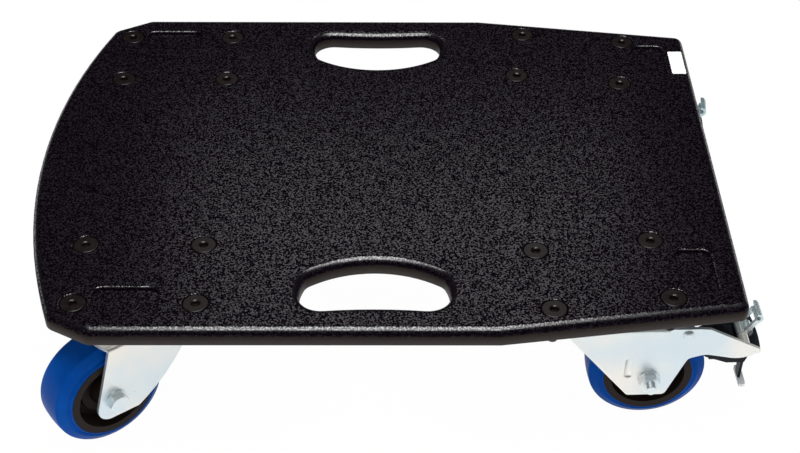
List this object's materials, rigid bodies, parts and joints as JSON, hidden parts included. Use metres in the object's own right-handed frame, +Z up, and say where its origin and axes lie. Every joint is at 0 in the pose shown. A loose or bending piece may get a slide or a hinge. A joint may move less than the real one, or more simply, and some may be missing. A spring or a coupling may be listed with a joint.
{
  "type": "caster board",
  "caption": "Flat coated rolling board with curved front, tapered rear, hand slots and foot pockets, on swivel castors with blue tyres; rear castors carry rocker brakes.",
  "frame": {"origin": "on the floor under the middle of the outer box, brake rockers included", "axes": "+X towards the straight tapered rear end with the brakes, +Y to the board's right-hand side, +Z up"},
  "size_m": [0.5078, 0.3772, 0.12],
  "materials": {
    "deck_coat": "plywood board under a fine-grained black coating",
    "black_steel": "satin black coated steel",
    "zinc": "bright zinc plated",
    "ball_steel": "polished bearing steel",
    "rim": "dark brown-black moulded plastic",
    "tyre": "blue elastic rubber",
    "bearing": "natural nylon",
    "brake_rubber": "black rubber"
  },
  "bodies": {
    "board": {"deck": "deck_coat", "castor_screws": "black_steel", "castor_nuts": "zinc", "king_pins": "zinc", "top_plate_front_left": "zinc", "top_plate_front_right": "zinc", "top_plate_rear_left": "zinc", "top_plate_rear_right": "zinc"},
    "swivel_front_left": {"fork_front_left": "zinc", "swivel_balls_front_left": "ball_steel", "axle_bolt_front_left": "zinc", "axle_nut_front_left": "zinc", "axle_washers_front_left": "zinc", "axle_spacers_front_left": "zinc"},
    "wheel_front_left": {"rim_front_left": "rim", "tyre_front_left": "tyre", "wheel_bearing_front_left": "bearing"},
    "swivel_front_right": {"fork_front_right": "zinc", "swivel_balls_front_right": "ball_steel", "axle_bolt_front_right": "zinc", "axle_nut_front_right": "zinc", "axle_washers_front_right": "zinc", "axle_spacers_front_right": "zinc"},
    "wheel_front_right": {"rim_front_right": "rim", "tyre_front_right": "tyre", "wheel_bearing_front_right": "bearing"},
    "swivel_rear_left": {"fork_rear_left": "zinc", "swivel_balls_rear_left": "ball_steel", "axle_bolt_rear_left": "zinc", "axle_nut_rear_left": "zinc", "axle_washers_rear_left": "zinc", "axle_spacers_rear_left": "zinc", "brake_pivot_rear_left": "zinc", "rocker_pin_rear_left": "zinc"},
    "wheel_rear_left": {"rim_rear_left": "rim", "tyre_rear_left": "tyre", "wheel_bearing_rear_left": "bearing"},
    "lever_rear_left": {"brake_lever_rear_left": "black_steel", "brake_tread_rear_left": "zinc", "brake_shoe_rear_left": "brake_rubber"},
    "rocker_rear_left": {"brake_rocker_rear_left": "zinc"},
    "swivel_rear_right": {"fork_rear_right": "zinc", "swivel_balls_rear_right": "ball_steel", "axle_bolt_rear_right": "zinc", "axle_nut_rear_right": "zinc", "axle_washers_rear_right": "zinc", "axle_spacers_rear_right": "zinc", "brake_pivot_rear_right": "zinc", "rocker_pin_rear_right": "zinc"},
    "wheel_rear_right": {"rim_rear_right": "rim", "tyre_rear_right": "tyre", "wheel_bearing_rear_right": "bearing"},
    "lever_rear_right": {"brake_lever_rear_right": "black_steel", "brake_tread_rear_right": "zinc", "brake_shoe_rear_right": "brake_rubber"},
    "rocker_rear_right": {"brake_rocker_rear_right": "zinc"}
  },
  "joints": [
    {"name": "swivel_front_left", "type": "hinge", "parent": "board", "child": "swivel_front_left", "pos_m": [-0.16732, -0.1313, 0.107], "axis": [0, 0, 1], "continuous": true},
    {"name": "roll_front_left", "type": "hinge", "parent": "swivel_front_left", "child": "wheel_front_left", "pos_m": [-0.19815, -0.15411, 0.041], "axis": [0.5948, -0.8039, 0], "continuous": true},
    {"name": "swivel_front_right", "type": "hinge", "parent": "board", "child": "swivel_front_right", "pos_m": [-0.16732, 0.1313, 0.107], "axis": [0, 0, 1], "continuous": true},
    {"name": "roll_front_right", "type": "hinge", "parent": "swivel_front_right", "child": "wheel_front_right", "pos_m": [-0.2038, 0.14315, 0.041], "axis": [-0.309, -0.9511, 0], "continuous": true},
    {"name": "swivel_rear_left", "type": "hinge", "parent": "board", "child": "swivel_rear_left", "pos_m": [0.14228, -0.1313, 0.107], "axis": [0, 0, 1], "continuous": true},
    {"name": "roll_rear_left", "type": "hinge", "parent": "swivel_rear_left", "child": "wheel_rear_left", "pos_m": [0.17716, -0.13008, 0.041], "axis": [-0.0349, 0.9994, 0], "continuous": true},
    {"name": "rock_rear_left", "type": "hinge", "parent": "swivel_rear_left", "child": "rocker_rear_left", "pos_m": [0.24122, -0.12784, 0.0674], "axis": [-0.0349, 0.9994, 0], "range_deg": [0, 35]},
    {"name": "brake_rear_left", "type": "hinge", "parent": "swivel_rear_left", "child": "lever_rear_left", "pos_m": [0.20014, -0.12928, 0.0814], "axis": [-0.0349, 0.9994, 0], "range_deg": [0, 2.92]},
    {"name": "swivel_rear_right", "type": "hinge", "parent": "board", "child": "swivel_rear_right", "pos_m": [0.14228, 0.1313, 0.107], "axis": [0, 0, 1], "continuous": true},
    {"name": "roll_rear_right", "type": "hinge", "parent": "swivel_rear_right", "child": "wheel_rear_right", "pos_m": [0.17692, 0.12705, 0.041], "axis": [0.1219, 0.9925, 0], "continuous": true},
    {"name": "rock_rear_right", "type": "hinge", "parent": "swivel_rear_right", "child": "rocker_rear_right", "pos_m": [0.24054, 0.11923, 0.0674], "axis": [0.1219, 0.9925, 0], "range_deg": [0, 35]},
    {"name": "brake_rear_right", "type": "hinge", "parent": "swivel_rear_right", "child": "lever_rear_right", "pos_m": [0.19975, 0.12424, 0.0814], "axis": [0.1219, 0.9925, 0], "range_deg": [0, 2.92]}
  ],
  "couplings": [
    {"joint": "brake_rear_left", "follows": "rock_rear_left", "ratio": 0.083314},
    {"joint": "brake_rear_right", "follows": "rock_rear_right", "ratio": 0.083314}
  ]
}
